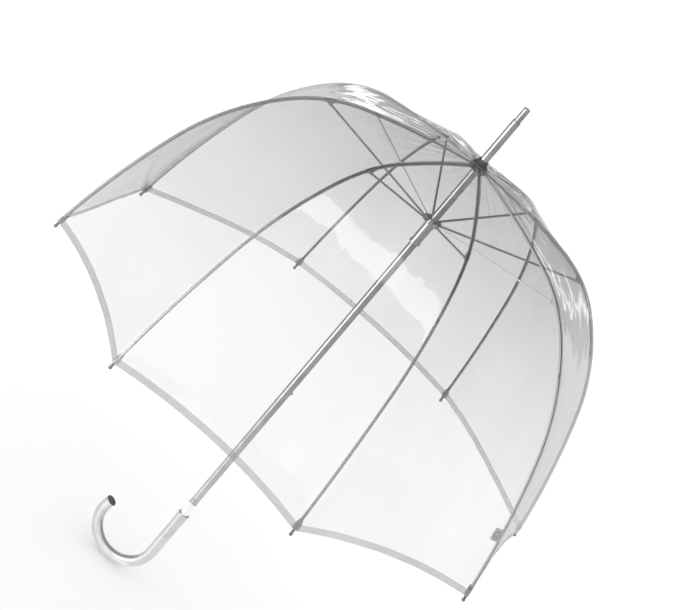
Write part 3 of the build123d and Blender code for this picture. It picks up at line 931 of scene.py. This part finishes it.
def make_seams():
    """The welded lap along each rib, where two panels meet."""
    places, points, faces = [], [], []
    start, end = SEAM_ENDS
    for number in range(1, RIBS + 1):
        base = len(points)
        for row in range(SEAM_ROWS):
            along = start + (end - start) * row / (SEAM_ROWS - 1)
            for side, out in SEAM_SECTION:
                place = beside_rib(number, along, side * SEAM_HALF)
                places.append(place)
                points.append(film_point(*place, lift=out * MM))
        seam = tube_faces(SEAM_ROWS, len(SEAM_SECTION))
        faces += [tuple(base + i for i in face) for face in seam]
    obj = new_mesh("panel_seams", points, faces)
    paint(obj, seam_film)
    return rigged(obj, places)


POCKET_HALF = 5.4 * MM
POCKET_LENGTH = 16.0 * MM
POCKET_DEPTH = 5.2 * MM  # below the film, where the rib's end is
POCKET_FLAT = 0.55 * MM  # below the film, at the pocket's sides
POCKET_BULGE = (1.9 * MM, 3.9 * MM)  # distances from the rib over which the bulge dies away
POCKET_SKIN = 0.35 * MM
POCKET_INSET = 0.4 * MM  # from the hem's corner
POCKET_ROUNDING = 0.92  # how far the pocket's upper end is drawn in
POCKET_ROWS = 12
POCKET_COLUMNS = 21


def make_pockets():
    """A pocket at each hem corner: a patch inside the film, bulged round the rib's end."""
    places, points, faces = [], [], []
    rows, columns = POCKET_ROWS, POCKET_COLUMNS
    for number in range(1, RIBS + 1):
        for layer in (0, 1):
            for row in range(rows):
                t = row / (rows - 1)
                along = HEM_AT - POCKET_INSET - POCKET_LENGTH * t
                half = POCKET_HALF * sqrt(1 - POCKET_ROUNDING * t**3)
                for c in range(columns):
                    sideways = half * (2 * c / (columns - 1) - 1)
                    bulge = 1 - smooth(abs(sideways), *POCKET_BULGE)
                    depth = POCKET_FLAT + (POCKET_DEPTH - POCKET_FLAT) * bulge
                    place = beside_rib(number, along, sideways)
                    places.append(place)
                    points.append(film_point(*place, lift=-depth - layer * POCKET_SKIN))
        base = (number - 1) * 2 * rows * columns
        far = base + rows * columns
        for row in range(rows - 1):
            for c in range(columns - 1):
                a = row * columns + c
                quad = (a, a + 1, a + 1 + columns, a + columns)
                faces.append(tuple(base + i for i in quad))
                faces.append(tuple(far + i for i in reversed(quad)))
        rim = list(range(columns))
        rim += [(r + 1) * columns - 1 for r in range(1, rows)]
        rim += [(rows - 1) * columns + c for c in range(columns - 2, -1, -1)]
        rim += [r * columns for r in range(rows - 2, 0, -1)]
        for i, a in enumerate(rim):
            b = rim[(i + 1) % len(rim)]
            faces.append((base + b, base + a, far + a, far + b))
    obj = new_mesh("rib_pockets", points, faces)
    paint(obj, pocket_film)
    return rigged(obj, places)


canopy = make_canopy()
hem = make_hem()
seams = make_seams()
pockets = make_pockets()


# ---------------------------------------------------------------- stage, light and camera


FLOOR_HALF = 14.0
FACED = (0.0, 0.0, 0.45)  # the point that soft boxes face, unless they say otherwise


def make_floor():
    """A wide pale floor under the handle."""
    half = FLOOR_HALF
    low = cad_box[0].z
    corners = [(-half, -half, low), (half, -half, low), (half, half, low), (-half, half, low)]
    obj = new_mesh("floor", corners, [(0, 1, 2, 3)], shading=False)
    paint(obj, floor_look())


def soft_light(name, place, size, power, target=FACED):
    """A soft box that shows only in glossy surfaces, so that the floor stays evenly lit."""
    data = bpy.data.lights.new(name, "AREA")
    data.shape = "RECTANGLE"
    data.size, data.size_y = size
    data.energy = power
    obj = bpy.data.objects.new(name, data)
    obj.location = place
    obj.rotation_euler = (Vector(target) - Vector(place)).to_track_quat("-Z", "Y").to_euler()
    obj.visible_camera = False
    obj.visible_diffuse = False
    scene.collection.objects.link(obj)


WHITE_LEVEL = 1.12
MIRROR_LEVEL = 1.5
BRIGHT_SIDE = (-0.42, 0.90, 0.05)  # direction in which mirrors see the studio brightest
MIRROR_RAMP = ((0.25, (0.20, 0.20, 0.205, 1)), (0.95, (1.0, 1.0, 1.0, 1)))


def make_world():
    """An even white studio, which mirrors see greyer away from its bright side."""
    world = bpy.data.worlds.new("studio")
    world.use_nodes = True
    tree = world.node_tree
    white = tree.nodes["Background"]
    white.inputs["Color"].default_value = (1, 1, 1, 1)
    white.inputs["Strength"].default_value = WHITE_LEVEL
    place = tree.nodes.new("ShaderNodeTexCoord")
    towards = tree.nodes.new("ShaderNodeVectorMath")
    towards.operation = "DOT_PRODUCT"
    towards.inputs[1].default_value = BRIGHT_SIDE
    ramp = tree.nodes.new("ShaderNodeValToRGB")
    for element, (position, colour) in zip(ramp.color_ramp.elements, MIRROR_RAMP):
        element.position = position
        element.color = colour
    grey = tree.nodes.new("ShaderNodeBackground")
    grey.inputs["Strength"].default_value = MIRROR_LEVEL
    path = tree.nodes.new("ShaderNodeLightPath")
    mix = tree.nodes.new("ShaderNodeMixShader")
    links = tree.links
    links.new(place.outputs["Generated"], towards.inputs[0])
    links.new(towards.outputs["Value"], ramp.inputs["Fac"])
    links.new(ramp.outputs["Color"], grey.inputs["Color"])
    links.new(path.outputs["Is Glossy Ray"], mix.inputs["Fac"])
    links.new(white.outputs["Background"], mix.inputs[1])
    links.new(grey.outputs["Background"], mix.inputs[2])
    links.new(mix.outputs["Shader"], tree.nodes["World Output"].inputs["Surface"])
    scene.world = world


CAMERA_TARGET = Vector((0.022, 0.0, 0.437))
CAMERA_AZIMUTH = radians(95.99)
CAMERA_ELEVATION = radians(19.28)
CAMERA_DISTANCE = 3.1257
CAMERA_ROLL = radians(40.21)
CAMERA_LENS = 119.24


def make_camera():
    """A long lens above the rim, rolled so that the shaft leans across the picture."""
    data = bpy.data.cameras.new("camera")
    data.lens = CAMERA_LENS
    data.sensor_width = 36.0
    camera = bpy.data.objects.new("camera", data)
    level = cos(CAMERA_ELEVATION)
    back = Vector((level * cos(CAMERA_AZIMUTH), level * sin(CAMERA_AZIMUTH), 0.0))
    back.z = sin(CAMERA_ELEVATION)
    camera.location = CAMERA_TARGET + back * CAMERA_DISTANCE
    camera.rotation_mode = "QUATERNION"
    turn = Quaternion((0, 0, 1), CAMERA_ROLL)
    camera.rotation_quaternion = (-back).to_track_quat("-Z", "Y") @ turn
    scene.collection.objects.link(camera)
    scene.camera = camera


make_floor()
make_world()
soft_light("side_card", (0.66, 0.74, 0.55), (0.55, 1.25), 5.0, target=(0, 0, 0.55))
soft_light("upper_front", (0.15, 1.60, 2.46), (1.9, 0.55), 9.0, target=(0, 0.2, 0.6))
soft_light("upper_edge", (1.0, -2.2, 0.85), (1.3, 0.30), 1.9)
soft_light("back_strip", (-0.5, -2.6, 0.95), (1.6, 0.16), 0.9)
make_camera()
scene.view_settings.view_transform = "Standard"
scene.cycles.transparent_max_bounces = 32
